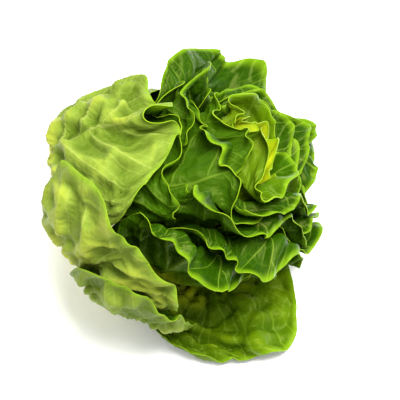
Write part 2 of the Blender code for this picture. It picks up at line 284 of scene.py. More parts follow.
# %% [markdown]
# The tables are read in two ways. The map of what is covered is read linearly, as it was for the solids,
# so that the leaves land in the same places. The fine surface uses a cubic spline, because linear reading
# leaves a crease at every row, which a glossy leaf would show.

# %% Reading the tables
INSIDE = 1.0001  # how far from a table's last row and column reading stops


def on_line(a):
    """Weights of four neighbours in a row on straight lines, at share a between the middle two."""
    return 0, 1 - a, a, 0


def on_spline(a):
    """The same for a smooth curve past them."""
    before, after = 3 * a**3 - 6 * a**2 + 4, -3 * a**3 + 3 * a**2 + 3 * a + 1
    return (1 - a) ** 3 / 6, before / 6, after / 6, a**3 / 6


def read(table, row, col, weights=on_spline):
    """A table read between its rows and columns."""
    rows, cols = table.shape[-2:]
    row, col = np.clip(row, 0, rows - INSIDE), np.clip(col, 0, cols - INSIDE)
    i, j = row.astype(int), col.astype(int)
    total = 0
    for di, in_row in zip((-1, 0, 1, 2), weights(row - i)):
        near_row = np.clip(i + di, 0, rows - 1)
        for dj, in_col in zip((-1, 0, 1, 2), weights(col - j)):
            total = total + in_row * in_col * table[..., near_row, np.clip(j + dj, 0, cols - 1)]
    return total


print("tables of", OPEN_BOWLS.shape, "values")

# %% [markdown]
# ## The leaves
#
# Each outer leaf has its own place, read off the photograph, and so a row of its own. One rule for them
# all would be shorter, but it would lose what gives this head its shape: the leaf spread on the floor,
# the pale ones at the left and the folded one at the top.

# %% The outer leaves
Leaf = namedtuple(
    "Leaf", "name azimuth spread layer length corner ruffle waves seed roll least_open", defaults=(0, 0))

# name, azimuth and half spread (degrees), layer, length, corner, height and number of ruffles, seed,
# and for two leaves the roll of the rim (layers) and how much of the open side's form they keep
OUTER = (
    ("leaf_floor", -24, 74, 1.30, 0.88, 0.25, 0.030, 2.4, 31, 0.00, 1.0),
    ("leaf_front_low", -112, 40, 1.21, 0.58, 0.80, 0.010, 1.6, 12),
    ("leaf_left", -145, 42, 1.16, 0.68, 0.92, 0.015, 2.0, 13, 0.04),
    ("leaf_left_back", 160, 50, 1.10, 0.97, 0.62, 0.015, 2.2, 15),
    ("leaf_back", 98, 44, 1.06, 0.74, 0.66, 0.015, 2.4, 20),
    ("leaf_right_low", -8, 46, 1.06, 0.72, 0.70, 0.020, 2.0, 22),
    ("leaf_front_outer", -112, 48, 0.96, 0.94, 0.78, 0.050, 2.2, 21),
    ("leaf_right", -4, 44, 0.96, 0.95, 0.60, 0.030, 1.8, 16),
    ("leaf_top", 78, 44, 0.92, 1.04, 0.70, 0.030, 1.6, 17),
    ("leaf_far", 38, 46, 0.84, 0.95, 0.66, 0.020, 1.6, 18),
    ("leaf_front", -96, 43, 0.80, 0.97, 0.74, 0.060, 2.4, 19),
)
outer_leaves = [Leaf(name, math.radians(azimuth), math.radians(spread), *rest)
                for name, azimuth, spread, *rest in OUTER]
print(len(outer_leaves), "outer leaves")

# %% [markdown]
# The inner leaves follow one another by the golden angle, as on most plants, so that no leaf stands
# right over the one before. Their size and ruffles change step by step from the heart outwards, and they
# are shorter on the far side and at the left, where the outer leaves fold over.

# %% The inner leaves
INNER_COUNT, INNER_SEED = 16, 900
GOLDEN_ANGLE, FIRST_INNER_AZIMUTH = 137.508, 40  # degrees
# half spread (degrees), height (layers) and number of ruffles of the first and of the last leaf
FIRST_INNER, LAST_INNER, INNER_CORNER = (84, 0.060, 2.0), (56, 0.095, 3.0), 0.78
INNER_LAYER, INNER_LAYER_POWER = (0.02, 0.78), 0.9
INNER_LENGTH, FULL_LENGTH_FROM = (0.85, 1.01), 0.38
UNEVEN_LENGTH, UNEVEN_TURN = 0.03, 2.1
SHORTER_FAR, FAR_AZIMUTH = 0.17, math.radians(-30)
SHORTER_LEFT, LEFT_AZIMUTH, LEFT_POWER = 0.20, math.radians(160), 4

inner_leaves = []
for k in range(INNER_COUNT):
    f = (k + 0.5) / INNER_COUNT
    azimuth = math.radians((k * GOLDEN_ANGLE + FIRST_INNER_AZIMUTH) % 360)
    far, left = (0.5 + 0.5 * math.cos(azimuth - side) for side in (FAR_AZIMUTH, LEFT_AZIMUTH))
    length = between(*INNER_LENGTH, min(1, f / FULL_LENGTH_FROM))
    length += UNEVEN_LENGTH * math.sin(k * UNEVEN_TURN)
    spread, ruffle, waves = between(FIRST_INNER, LAST_INNER, f)
    length -= SHORTER_FAR * far + SHORTER_LEFT * left**LEFT_POWER
    layer = between(*INNER_LAYER, f**INNER_LAYER_POWER)
    inner_leaves.append(Leaf(f"leaf_inner_{k + 1:02d}", azimuth, math.radians(spread), layer,
                             length, INNER_CORNER, ruffle, waves, INNER_SEED + k))

leaves = sorted(inner_leaves + outer_leaves, key=lambda leaf: leaf.layer)
print(len(leaves), "leaves, from", leaves[0].name, "to", leaves[-1].name)

# %% [markdown]
# A leaf has its own coordinates: u runs across it from -1 to 1, and v from its root (0) to its rim (1).
# Its outline says how far round the head and how far along the bowl each point lies, and its own layer
# holds the ruffles, which grow towards the rim as on every lettuce.

# %% Outline and ruffles of one leaf
ROOT_WIDTH, WIDENING = 0.52, 0.8  # share of the full width at the root, and how fast it grows
CORNER_TAPER, CORNER_POWER = 0.10, 3.2
NOTCHES = ((0.022, 5), (0.014, 11))  # depth and number of the rim's shallow notches
RUFFLES = ((0.55, 1.0, 2), (0.50, 1.73, 3), (0.20, 3.1, 6))  # size, times as many, growth to the rim
RUFFLE_SLANT = 1.2
CUP, MOST_TILT = 0.02, 0.03  # layers
ROLL_FROM, ROLL_POWER = 0.72, 1.5
OUTLINE_SEED, RELIEF_SEED = 1000, 2000  # added to a leaf's own seed, for draws of their own


def outline(leaf, u, v):
    """Turn about the head's axis and share of length, at u across and v outwards."""
    rng = np.random.default_rng(leaf.seed + OUTLINE_SEED)
    at_root = leaf.spread * ROOT_WIDTH
    at_side = leaf.spread * (1 - CORNER_TAPER * np.abs(u) ** 3)
    turn = leaf.azimuth + u * (at_root + (at_side - at_root) * np.sin(np.pi / 2 * v) ** WIDENING)
    notch = sum(size * np.sin(count * u + rng.uniform(0, 6)) for size, count in NOTCHES)
    share = leaf.length * v * (1 - (1 - leaf.corner) * np.abs(u) ** CORNER_POWER + notch * v**2)
    return turn, share


def own_layer(leaf, u, v):
    """The layer that a leaf would take by itself, with its ruffles and its rolled rim."""
    rng = np.random.default_rng(leaf.seed)
    wave = np.zeros_like(u)
    for size, count, power in RUFFLES:
        phase = rng.uniform(0, math.tau) + RUFFLE_SLANT * (1 - v)
        wave += size * np.sin(math.pi * leaf.waves * count * u + phase) * v**power
    cup = -CUP * np.cos(math.pi * u) * v
    tilt = rng.uniform(-MOST_TILT, MOST_TILT) * u * v
    roll = leaf.roll * ease(v, ROLL_FROM, 1.0) ** ROLL_POWER
    return leaf.layer + leaf.ruffle * wave + cup + tilt + roll


print("leaf_left spans", round(2 * math.degrees(outer_leaves[2].spread)), "degrees of the head")

# %% [markdown]
# The leaves are laid from the heart out. A map of the head remembers how far out it is covered, and the
# next leaf is lifted off that by a small gap wherever it would sink in. Cloth simulation could part the
# leaves too, but it takes minutes, and a leaf could still slip through.

# %% Map of what is covered
LAY_ACROSS, LAY_ALONG, DENSER = 96, 48, 4  # cells of a leaf's grid, and of the grid that marks the map
MAP_TURN, MAP_LENGTH = 360, 96


def grid(across, along):
    """Values of u and v on a grid over a leaf."""
    return np.meshgrid(np.linspace(-1, 1, across + 1), np.linspace(0, 1, along + 1))


def smooth(field):
    """One pass of averaging with the neighbours."""
    f = np.pad(field, 1, mode="edge")
    return (f[1:-1, 1:-1] * 4 + (f[:-2, 1:-1] + f[2:, 1:-1] + f[1:-1, :-2] + f[1:-1, 2:]) * 2) / 12


def map_cell(turn, share):
    """Where a turn and a share of length lie on the map of what is covered."""
    return np.degrees(turn) % 360 * MAP_TURN / 360, share / REACH * MAP_LENGTH


def covered_at(chart, leaf):
    """The largest of the map's four values round each point of a leaf's grid."""
    row, col = map_cell(*outline(leaf, LAY_U, LAY_V))
    i, j = np.clip(row.astype(int), 0, MAP_TURN - 1), np.clip(col.astype(int), 0, MAP_LENGTH - 1)
    ring = np.vstack([chart, chart[:1]])
    return np.maximum.reduce([ring[i, j], ring[i + 1, j], ring[i, j + 1], ring[i + 1, j + 1]])


def cover(chart, leaf, layer):
    """Marks on the map the layer at which a leaf lies, one cell wider on every side."""
    value = read(layer, DENSE_V * LAY_ALONG, (DENSE_U + 1) / 2 * LAY_ACROSS, on_line)
    row, col = map_cell(*outline(leaf, DENSE_U, DENSE_V))
    i, j = np.round(row).astype(int), np.round(col).astype(int)
    for di in (-1, 0, 1):
        for dj in (-1, 0, 1):
            np.maximum.at(chart, ((i + di) % MAP_TURN, np.clip(j + dj, 0, MAP_LENGTH)), value)


LAY_U, LAY_V = grid(LAY_ACROSS, LAY_ALONG)
DENSE_U, DENSE_V = grid(DENSER * LAY_ACROSS, DENSER * LAY_ALONG)
print("a leaf is laid on", LAY_U.size, "points")

# %% Laying the leaves
GAP_AT_ROOT, GAP_AT_RIM = 0.064, 0.047  # layers
SMOOTHINGS, LAST_SMOOTHINGS = 10, 3

laid = {}
covered = np.full((MAP_TURN, MAP_LENGTH + 1), -1.0)
for leaf in leaves:
    under = covered_at(covered, leaf)
    gap = between(GAP_AT_ROOT, GAP_AT_RIM, np.clip(outline(leaf, LAY_U, LAY_V)[1], 0, 1))
    least = np.where(under < 0, -1.0, under + gap)
    layer = np.maximum(own_layer(leaf, LAY_U, LAY_V), least)
    for _ in range(SMOOTHINGS):
        layer = np.maximum(smooth(layer), least)
    layer = np.clip(layer, 0, LAST_LAYER - 0.01)
    cover(covered, leaf, layer)
    laid[leaf.name] = layer
    for _ in range(LAST_SMOOTHINGS):
        laid[leaf.name] = smooth(laid[leaf.name])
print("the outermost leaf reaches layer", round(laid[leaves[-1].name].max(), 2))

# %% [markdown]
# ## From the standing head to the head as it lies
#
# Slow waves bend all the leaves alike, so that none come together. Then the head is leaned over and
# turned as in the photograph, and whatever would sink into the floor is pressed flat on it.

# %% Waves and lean
# each wave: its turns over the head (radians a metre), its push (mm), its phase, and the heights
# between which it sets in (mm)
WAVES = (
    ((43, 31, 20), (3.0, -3.5, 2.0), 0.3, 10, 50),
    ((-37, 52, 24), (2.7, 3.0, -2.0), 1.9, 10, 50),
    ((72, 28, -40), (-4.0, 7.0, 2.0), 0.9, 45, 100),
    ((-24, 78, 36), (6.5, 3.0, 2.0), 2.6, 45, 100),
    ((96, -84, 50), (2.2, 2.6, 4.5), 4.0, 60, 110),
    ((110, 92, -60), (-2.0, 2.4, 4.0), 1.2, 60, 110),
)
LEAN = math.radians(48)
HEADING = math.radians(18)
ROOT_PLACE = (-55 * MM, -28 * MM, 20 * MM)
# how far the top of the head sags over to its lower side, and between which heights
SAG = (26 * MM, -2 * MM, 0)
SAG_FROM, SAG_TO = 30 * MM, 140 * MM


def leaned(points):
    """The standing head's points, waved, sagged, leaned over and turned."""
    points = np.array(points, float)
    for wave, push, phase, low, high in WAVES:
        swing = np.sin(points @ np.array(wave, float) + phase)
        swing = swing * ease(points[..., 2], low * MM, high * MM)
        points = points + swing[..., None] * np.array(push) * MM
    points = points + ease(points[..., 2], SAG_FROM, SAG_TO)[..., None] * np.array(SAG)
    turned = Matrix.Rotation(HEADING, 3, "Z") @ Matrix.Rotation(LEAN, 3, "Y")
    return points @ np.array(turned).T + np.array(ROOT_PLACE)


print("leaned over by", round(math.degrees(LEAN)), "degrees")

# %% [markdown]
# The leaf that bears the head lies nearly flat, but it touches the floor only in places. So it is
# pressed flat, then raised by a hair, except at one flat spot and three points round the head's weight.
# Its free rim ripples up from the floor in front.

# %% Press on the floor
RIPPLE_CENTRE, RIPPLE_RADIUS = (10 * MM, -20 * MM), (30 * MM, 80 * MM)
RIPPLE_FRONT = (15 * MM, 45 * MM)
RIPPLES, RIPPLE_HEIGHT = 9, 12 * MM
# it touches the floor at a flat spot and three points: place, radius of the flat, clear from (mm)
REST_SPOTS = ((0, 0, 20, 30), (-35.3, 13.1, 5, 25), (-8.5, -45.3, 4, 25), (65.8, -1.1, 5, 30))
CLEAR_HEIGHT = 0.6 * MM
PRESSED_BELOW, SINK = 14 * MM, 2 * MM  # what is lower is squeezed together, and all sinks a little
RAISED = (-5 * MM, 10 * MM)  # depths under the floor between which a point starts to be raised
SOLID_THICKNESS = 0.8 * MM


def rise(x, y):
    """Height of the lowest leaf above the floor, with its ripples, off the spots that it rests on."""
    off_spots = 1.0
    for spot_x, spot_y, flat, clear in REST_SPOTS:
        off_spots = off_spots * ease(np.hypot(x - spot_x * MM, y - spot_y * MM), flat * MM, clear * MM)
    x, y = x - RIPPLE_CENTRE[0], y - RIPPLE_CENTRE[1]
    out = ease(np.hypot(x, y), *RIPPLE_RADIUS) * ease(-y, *RIPPLE_FRONT)
    ripple = RIPPLE_HEIGHT * out * (0.5 + 0.5 * np.sin(RIPPLES * np.arctan2(y, x)))
    return (CLEAR_HEIGHT + ripple) * off_spots


def lie(points):
    """From the standing head to the head as it lies, pressed on the floor."""
    points = leaned(points)
    z = points[..., 2]
    pressed = PRESSED_BELOW * np.exp(np.minimum(z / PRESSED_BELOW - 1, 0))
    low = np.maximum(np.where(z > PRESSED_BELOW, z, pressed) - SINK, SOLID_THICKNESS / 2)
    points[..., 2] = low + rise(points[..., 0], points[..., 1]) * ease(-z, *RAISED)
    return points


origin = lie([(0.0, 0.0, 0.0)])[0]
print("the foot of the head's axis lies at", [round(x / MM) for x in origin], "mm")

# %% Points of a leaf
def on_leaf(field, u, v):
    """A field of a leaf's grid, read smoothly at u and v."""
    return read(field, v * LAY_ALONG, (u + 1) / 2 * LAY_ACROSS)


def stand(leaf, u, v):
    """Points of a leaf's middle surface in the standing head."""
    turn, share = outline(leaf, u, v)
    layer = on_leaf(laid[leaf.name], u, v)
    row, col = layer / LAST_LAYER * (TABLE_ROWS - 1), share / REACH * (TABLE_COLS - 1)
    w = np.maximum(0.5 + 0.5 * np.cos(turn - OPEN_AZIMUTH), leaf.least_open)
    radius, height = read(OPEN_BOWLS, row, col) * w + read(FLARED_BOWLS, row, col) * (1 - w)
    return np.stack([radius * np.cos(turn), radius * np.sin(turn), height], -1)


rim_middle = lie(stand(leaves[-1], np.array([0.0]), np.array([1.0])))[0]
print("rim of the lowest leaf at", [round(x / MM) for x in rim_middle], "mm")

# %% [markdown]
# The stem was cut off with a knife, so its end is nearly flat with a soft edge. Inside the head it
# narrows to the growing point. It is turned from its outline with the spin operator, then laid down as
# the leaves are.

# %% Shape of the stem
STEM_SIDES = 72
STEM_CLEAR = 0.7  # mm from the stem to the middle of a leaf's root
CUT_FACE = ((0, -4.4), (6, -4.6), (12.5, -5), (14.2, -4.4), (14.5, -3.5))


def turned_stem():
    """The stem as a closed bmesh, in its place."""
    profile = list(CUT_FACE)
    profile += [(radius - STEM_CLEAR, height) for radius, height in reversed(ROOT)]
    profile += [(0, ROOT[0][1] + 1)]
    shape = bmesh.new()
    verts = [shape.verts.new((radius * MM, 0, height * MM)) for radius, height in profile]
    edges = [shape.edges.new(pair) for pair in zip(verts, verts[1:])]
    bmesh.ops.spin(
        shape, geom=verts + edges, axis=(0, 0, 1), cent=(0, 0, 0), steps=STEM_SIDES, angle=math.tau,
        use_merge=True)
    bmesh.ops.remove_doubles(shape, verts=shape.verts, dist=0.01 * MM)
    for vert, point in zip(shape.verts, lie([vert.co for vert in shape.verts])):
        vert.co = point
    bmesh.ops.recalc_face_normals(shape, faces=shape.faces)
    return shape


print("stem", round(ROOT[0][1] - CUT_FACE[2][1]), "mm long")

# %% [markdown]
# Blisters and ribs may puff into the air between two leaves, but no two may touch. So rays from each
# point of a leaf's grid measure how far the next leaf or the stem is on either side. The least of the
# values around a point counts, because a leaf's edge can come close beside a ray that misses it.

# %% Rays from a leaf
MOST_RELIEF = 6.5  # mm
CLEAR = 0.55  # mm that relief leaves free to the middle between two leaves
RAY_START, RAY_LENGTH = 0.3, 2 * (MOST_RELIEF + CLEAR)  # mm


def square_to(first, second):
    """Unit vectors square to two fields of vectors."""
    up = np.cross(first, second)
    return up / np.linalg.norm(up, axis=-1, keepdims=True)


def least_around(field):
    """The least value of each place and its eight neighbours."""
    f = np.pad(field, 1, mode="edge")
    rows, cols = field.shape
    return np.minimum.reduce([f[i:i + rows, j:j + cols] for i in range(3) for j in range(3)])


def air_beside(points, directions, obstacles):
    """How far each point is from the nearest thing in its direction (mm)."""
    distances = np.full(len(points), RAY_LENGTH)
    for k, (point, direction) in enumerate(zip(points, directions)):
        way = Vector(direction)
        start = Vector(point) + way * (RAY_START * MM)
        found = [tree.ray_cast(start, way, RAY_LENGTH * MM)[3] for tree in obstacles]
        found = [RAY_START + distance / MM for distance in found if distance is not None]
        distances[k] = min([RAY_LENGTH] + found)
    return distances


print("rays are", round(RAY_LENGTH, 1), "mm long")

# %% Air on both sides of each leaf
NEAR_CELLS, AIR_SMOOTHINGS = 3, 4

surfaces = {leaf.name: lie(stand(leaf, LAY_U, LAY_V)) for leaf in leaves}
cell = np.arange(LAY_U.size).reshape(LAY_U.shape)
quads = np.stack([cell[:-1, :-1], cell[:-1, 1:], cell[1:, 1:], cell[1:, :-1]], -1).reshape(-1, 4)
corners = np.concatenate([points.reshape(-1, 3) for points in surfaces.values()])
faces = np.concatenate([quads + k * LAY_U.size for k in range(len(leaves))])
all_leaves = BVHTree.FromPolygons(corners.tolist(), faces.tolist())
stem = BVHTree.FromBMesh(turned_stem())
air = {}
for leaf in leaves:
    points = surfaces[leaf.name]
    up = square_to(np.gradient(points, axis=0), np.gradient(points, axis=1))
    for side in (1, -1):
        flat_up = (up * side).reshape(-1, 3)
        field = air_beside(points.reshape(-1, 3), flat_up, (all_leaves, stem)).reshape(LAY_U.shape)
        for _ in range(NEAR_CELLS):
            field = least_around(field)
        for _ in range(AIR_SMOOTHINGS):
            field = smooth(field)
        air[leaf.name, side] = field
print("least air beside a leaf", round(min(field.min() for field in air.values()), 2), "mm")

# %% [markdown]
# ## What the surface of a leaf is like
#
# A butterhead leaf has a pale midrib that melts into the blade, side veins that leave it every 19 mm or
# so, and a net of fine veins. Between the veins it puffs up, which gives this lettuce its soft quilted
# look, and its rim is crimped.
#
# A bump map has no shadow and no outline, so everything wider than about 3 mm is real shape here, and
# only the net is a bump. Both need the leaf's flat measure: how many millimetres a point is from the
# midrib and from the root.

# %% Flat measure of a leaf
def lengths(points, axis):
    """Length along the rows or columns of a grid of points, from its first row or column."""
    steps = np.linalg.norm(np.diff(points, axis=axis), axis=-1)
    return np.insert(np.cumsum(steps, axis=axis), 0, 0, axis=axis)


def flat_measure(leaf):
    """How far the points of a leaf's grid are across from the midrib and out from the root (mm)."""
    points = stand(leaf, LAY_U, LAY_V)
    across = lengths(points, axis=1)
    across = across - across[:, LAY_ACROSS // 2, None]
    return across / MM, lengths(points, axis=0) / MM


across, along = flat_measure(leaves[-1])
print("lowest leaf:", round(across.max() - across.min()), "mm wide,", round(along.max()), "mm long")

# %% [markdown]
# Each side vein is a line on the flat leaf, and a number counts the veins, so that both the relief and
# the finish know where they run. Blisters are uneven cells, each round one of a set of shifted points.

# %% Where the veins run
VEIN_SPACING = 19.0  # mm along the midrib
VEIN_SLOPE, VEIN_BEND = 0.65, 0.008  # rise of a side vein for each mm across, and how fast it steepens
VEIN_STRAIGHT = 60.0  # mm across beyond which a side vein steepens no more
VEIN_WANDER = 3.0  # mm
FANNED = {"leaf_floor": 62.0}  # a leaf whose veins fan out, and how far from its root (mm)
FAN_STEP = math.radians(15)
WANDERS = ((0.043, 0.031, 0.6), (-0.027, 0.058, 0.4), (0.071, -0.049, 0.25))


def wander(across, along, rng):
    """A slow uneven drift over the leaf, between about -1 and 1."""
    return sum(size * np.sin(a * across + b * along + rng.uniform(0, math.tau))
               for a, b, size in WANDERS)


def vein_phase(leaf, across, along, rng):
    """A number that is whole on every side vein and grows by one from each vein to the next."""
    drift = VEIN_WANDER * wander(across, along, rng)
    if leaf.name in FANNED:
        turn = np.arctan2(across, along - FANNED[leaf.name])
        return turn / FAN_STEP + drift / VEIN_SPACING
    side = np.where(across < 0, 0.5, 0.0)
    far = np.abs(across)
    rise = VEIN_SLOPE * far + VEIN_BEND * far**2 / 2 / (1 + far / VEIN_STRAIGHT)
    return (along - rise + drift) / VEIN_SPACING + side


print("veins fan out on", *FANNED)

# %% Blisters
BLISTER_SIZE = 21.0  # mm
CELLS, JITTER = 64, (0.12, 0.88)  # cells before the pattern repeats, and places of their points
SEAM_WIDTH, DOME_POWER, QUILT_POWER = 0.6, 0.7, 0.8


def blisters(across, along, size, rng):
    """Domes of uneven cells: 0 on the seams between them and 1 in their middles."""
    jitter = rng.uniform(*JITTER, (CELLS, CELLS, 2))
    x, y = across / size + 20, along / size + 20
    near = np.full((2, *x.shape), 9.0)
    for di in (-1, 0, 1):
        for dj in (-1, 0, 1):
            i, j = np.floor(x).astype(int) + di, np.floor(y).astype(int) + dj
            seed = jitter[i % CELLS, j % CELLS]
            far = np.hypot(x - i - seed[..., 0], y - j - seed[..., 1])
            near = np.sort(np.concatenate([near, far[None]]), axis=0)[:2]
    return np.clip((near[1] - near[0]) / SEAM_WIDTH, 0, 1) ** DOME_POWER


def quilting(phase):
    """The puffed blade between two side veins: 0 on the veins and 1 half way."""
    off = np.abs(phase - np.round(phase)) * 2
    return np.sin(np.pi / 2 * off) ** QUILT_POWER


sample = blisters(*np.mgrid[0:60.0, 0:60.0], BLISTER_SIZE, np.random.default_rng(1))
print("blisters pass half height on", round(100 * float((sample > 0.5).mean())), "% of the blade")

# %% [markdown]
# ## Building a leaf
#
# A leaf starts as a flat grid, and each point is put in place: on the middle surface, plus half a
# thickness and the relief along the surface's normal. A Solidify modifier gives the blade its other
# face. It reads a vertex weight as thickness, so it makes the thin rim, the blade and the fat midrib.

# %% Relief
QUILT_HEIGHT, BLISTER_HEIGHT = 2.9, 3.2  # mm
CRIMP_HEIGHT, CRIMP_LENGTH = 1.9, 18.0  # mm, for the waves of the rim
CRUMPLE_HEIGHT, CRUMPLE_SIZE = 0.6, 10.0  # mm, for the small puckers on the large ones
FOLD_HEIGHT, FOLD_LENGTH = 1.8, 41.0  # mm, for the broad folds that run out to the rim
CRIMP_DRIFT, FOLD_DRIFT = 2.2, 2.5  # how far chance shifts them (radians)
LOOSE, LOOSE_LAYERS = 2.5, (0.7, 1.1)  # times the relief of the outermost leaves, and where it sets in
# where each sets in, in shares of the length, and where the blade is calmer again
QUILTED, PUFFED, FOLDED, CRIMPED = (0.05, 0.35), (0.1, 0.4), (0.15, 0.6), (0.80, 1.0)
CALM_RIM, CALM_SIDES, CALM_CORNERS, CALM_PUCKERS = (0.82, 1.0), (0.7, 1.0), (0.8, 1.0), (0.7, 0.95)
OFF_MIDRIB = (2, 10)  # mm


def limited(value, most):
    """A value bent smoothly so that it never passes its limit."""
    return most * np.tanh(value / np.maximum(most, 1e-6))


def relief(leaf, across, along, u, v, phase, rng):
    """How far the blade puffs towards its upper face (mm), most on the loose outer leaves."""
    quilt = QUILT_HEIGHT * (quilting(phase) - 0.6) * ease(np.abs(across), *OFF_MIDRIB)
    puff = BLISTER_HEIGHT * (blisters(across, along, BLISTER_SIZE, rng) - 0.5)
    crimp = np.sin(math.tau * across / CRIMP_LENGTH + CRIMP_DRIFT * wander(2 * across, 2 * along, rng))
    pucker = CRUMPLE_HEIGHT * (blisters(across, along, CRUMPLE_SIZE, rng) - 0.5)
    fold = np.sin(math.tau * across / FOLD_LENGTH + FOLD_DRIFT * wander(across, along, rng))
    lumps = quilt * ease(v, *QUILTED) + FOLD_HEIGHT * fold * ease(v, *FOLDED)
    lumps += (puff + pucker * (1 - ease(v, *CALM_PUCKERS))) * ease(v, *PUFFED)
    calm = (1 - 0.75 * ease(v, *CALM_RIM)) * (1 - 0.9 * ease(np.abs(u), *CALM_SIDES))
    loose = between(1.0, LOOSE, ease(leaf.layer, *LOOSE_LAYERS))
    crimped = ease(v, *CRIMPED) ** 1.3 * (1 - ease(np.abs(u), *CALM_CORNERS))
    return lumps * calm * loose + CRIMP_HEIGHT * crimp * crimped


print("outermost leaves puff", LOOSE, "times as high as inner ones")

# %% Thickness
BLADE, RIM_BLADE, MOST_THICK = 0.75, 0.5, 2.6  # mm
RIDGE_HEIGHT, RIDGE_WIDTH = 0.8, 1.7  # mm, for the side veins
RIDGED, RIDGE_FADES, RIM_THIN = (0.1, 0.3), (0.6, 1.0), (0.85, 1.0)  # shares of the length
RIB_WIDTH, RIB_FADES = 7.0, 75.0  # mm at the root, and the length over which it melts into the blade


def thickness(across, along, v, phase):
    """Thickness of the blade with its midrib and the ridges of its side veins (mm)."""
    rib = (MOST_THICK - BLADE) * np.exp(-along / RIB_FADES) * np.exp(-(across / RIB_WIDTH) ** 2)
    off_vein = (phase - np.round(phase)) * VEIN_SPACING
    ridge = RIDGE_HEIGHT * np.exp(-(off_vein / RIDGE_WIDTH) ** 2)
    ridge = ridge * ease(v, *RIDGED) * (1 - ease(v, *RIDGE_FADES))
    return BLADE + (RIM_BLADE - BLADE) * ease(v, *RIM_THIN) + np.maximum(rib, ridge)


print("blade", BLADE, "mm, rim", RIM_BLADE, "mm, midrib", MOST_THICK, "mm at the root")

# %% [markdown]
# Relief is bent to fit the air: a leaf between two others stays nearly flat, and a free one puffs up.
# Where a leaf has air on one side only, it also moves a little to that side.

# %% The surface of a leaf
TOWARDS_ROOM, ROOM_FROM = 0.8, (0.05, 0.3)  # how far it moves, and the shares of length where it sets in
ROLLED_OUT = {"leaf_left": 7.0, "leaf_front_outer": 4.0}  # mm that a rim turns outwards
ROLL_RIM = (0.84, 1.0)
LEAST_SLOPE = 0.2  # of the blade to the floor, where the room above the floor is measured


def leaf_surface(leaf, u, v):
    """The upper face's points, the blade's thickness (mm), and the measures for its finish."""
    rng = np.random.default_rng(leaf.seed + RELIEF_SEED)
    across, along = (on_leaf(field, u, v) for field in flat_measure(leaf))
    phase = vein_phase(leaf, across, along, rng)
    step = 1 / LAY_ACROSS
    points = lie(stand(leaf, u, v))
    along_u = lie(stand(leaf, u + step, v)) - lie(stand(leaf, u - step, v))
    along_v = (lie(stand(leaf, u, np.minimum(v + step, 1)))
               - lie(stand(leaf, u, np.maximum(v - step, 0))))
    up = square_to(along_v, along_u)
    room_up, room_down = (np.clip(on_leaf(air[leaf.name, side], u, v) / 2 - CLEAR, 0, MOST_RELIEF)
                          for side in (1, -1))
    above_floor = np.maximum(points[..., 2] / MM - BLADE / 2, 0)
    above_floor = above_floor / np.maximum(np.abs(up[..., 2]), LEAST_SLOPE)
    room_up = np.where(up[..., 2] > 0, room_up, np.minimum(room_up, above_floor))
    room_down = np.where(up[..., 2] > 0, np.minimum(room_down, above_floor), room_down)
    middle = TOWARDS_ROOM * (room_up - room_down) / 2
    swing = np.minimum(room_up - middle, middle + room_down)
    lumps = limited(relief(leaf, across, along, u, v, phase, rng), swing)
    height = middle * ease(v, *ROOM_FROM) + lumps
    height -= ROLLED_OUT.get(leaf.name, 0) * ease(v, *ROLL_RIM) ** 2 * room_down / MOST_RELIEF
    thick = thickness(across, along, v, phase)
    thick = np.minimum(thick, BLADE + np.maximum(room_down + height, 0))
    points = points + up * ((BLADE / 2 + height) * MM)[..., None]
    points[..., 2] = np.maximum(points[..., 2], thick * MM)
    return points, thick, across, along, phase, lumps / QUILT_HEIGHT


upper, thick, *_ = leaf_surface(leaves[-1], LAY_U, LAY_V)
print("lowest leaf: upper face from", round(upper[..., 2].min() / MM, 2), "mm up")

# %% [markdown]
# Three UV maps carry the leaf's measures to its finish: the flat place on it in decimetres, then the
# number of the side vein and the share of length, then how green it is and how far it puffs up. A
# lettuce is white at its roots, yellow in its heart, where no light comes, and green outside.

# %% Maps of a leaf
FLAT_UNIT = 100.0  # mm to one unit of the flat map
GREEN_LAYERS, HEART_GREEN = (0.0, 0.66), 0.26
GREEN_FROM, EARLY_FROM, EARLY_GREEN = (0.05, 0.9), (0.25, 0.6), 0.30
# leaves less green than the rest: the lowest one is painted lighter, as painted light where the head
# shades it, and the pale outer ones are partly their own paler tissue, partly painted light
PALER_AND_PAINTED_LIGHTER = {"leaf_floor": 0.54, "leaf_left": 0.74, "leaf_left_back": 0.84, "leaf_front_low": 0.88}


def greenness(leaf, v):
    """0 where the leaf never sees light, at its root and in the heart, and 1 where it is fully green."""
    outside = ease(leaf.layer, *GREEN_LAYERS)
    green = ease(v, *GREEN_FROM) * (HEART_GREEN + (1 - HEART_GREEN) * outside)
    green = green + EARLY_GREEN * outside * ease(v, *EARLY_FROM)
    # some leaves are made paler from the table above, partly as painted light
    return PALER_AND_PAINTED_LIGHTER.get(leaf.name, 1.0) * np.clip(green, 0, 1)


def add_map(mesh, name, first, second):
    """A UV map from two values at each vertex."""
    corner = np.empty(len(mesh.loops), int)
    mesh.loops.foreach_get("vertex_index", corner)
    values = np.stack([first, second], -1)[corner]
    mesh.uv_layers.new(name=name).uv.foreach_set("vector", values.ravel().astype(np.float32))


print("paler leaves", *PALER_AND_PAINTED_LIGHTER)

# %% The mesh of a leaf
RIM_CROWDING = 1.3  # how much closer the rows of faces lie near the rim


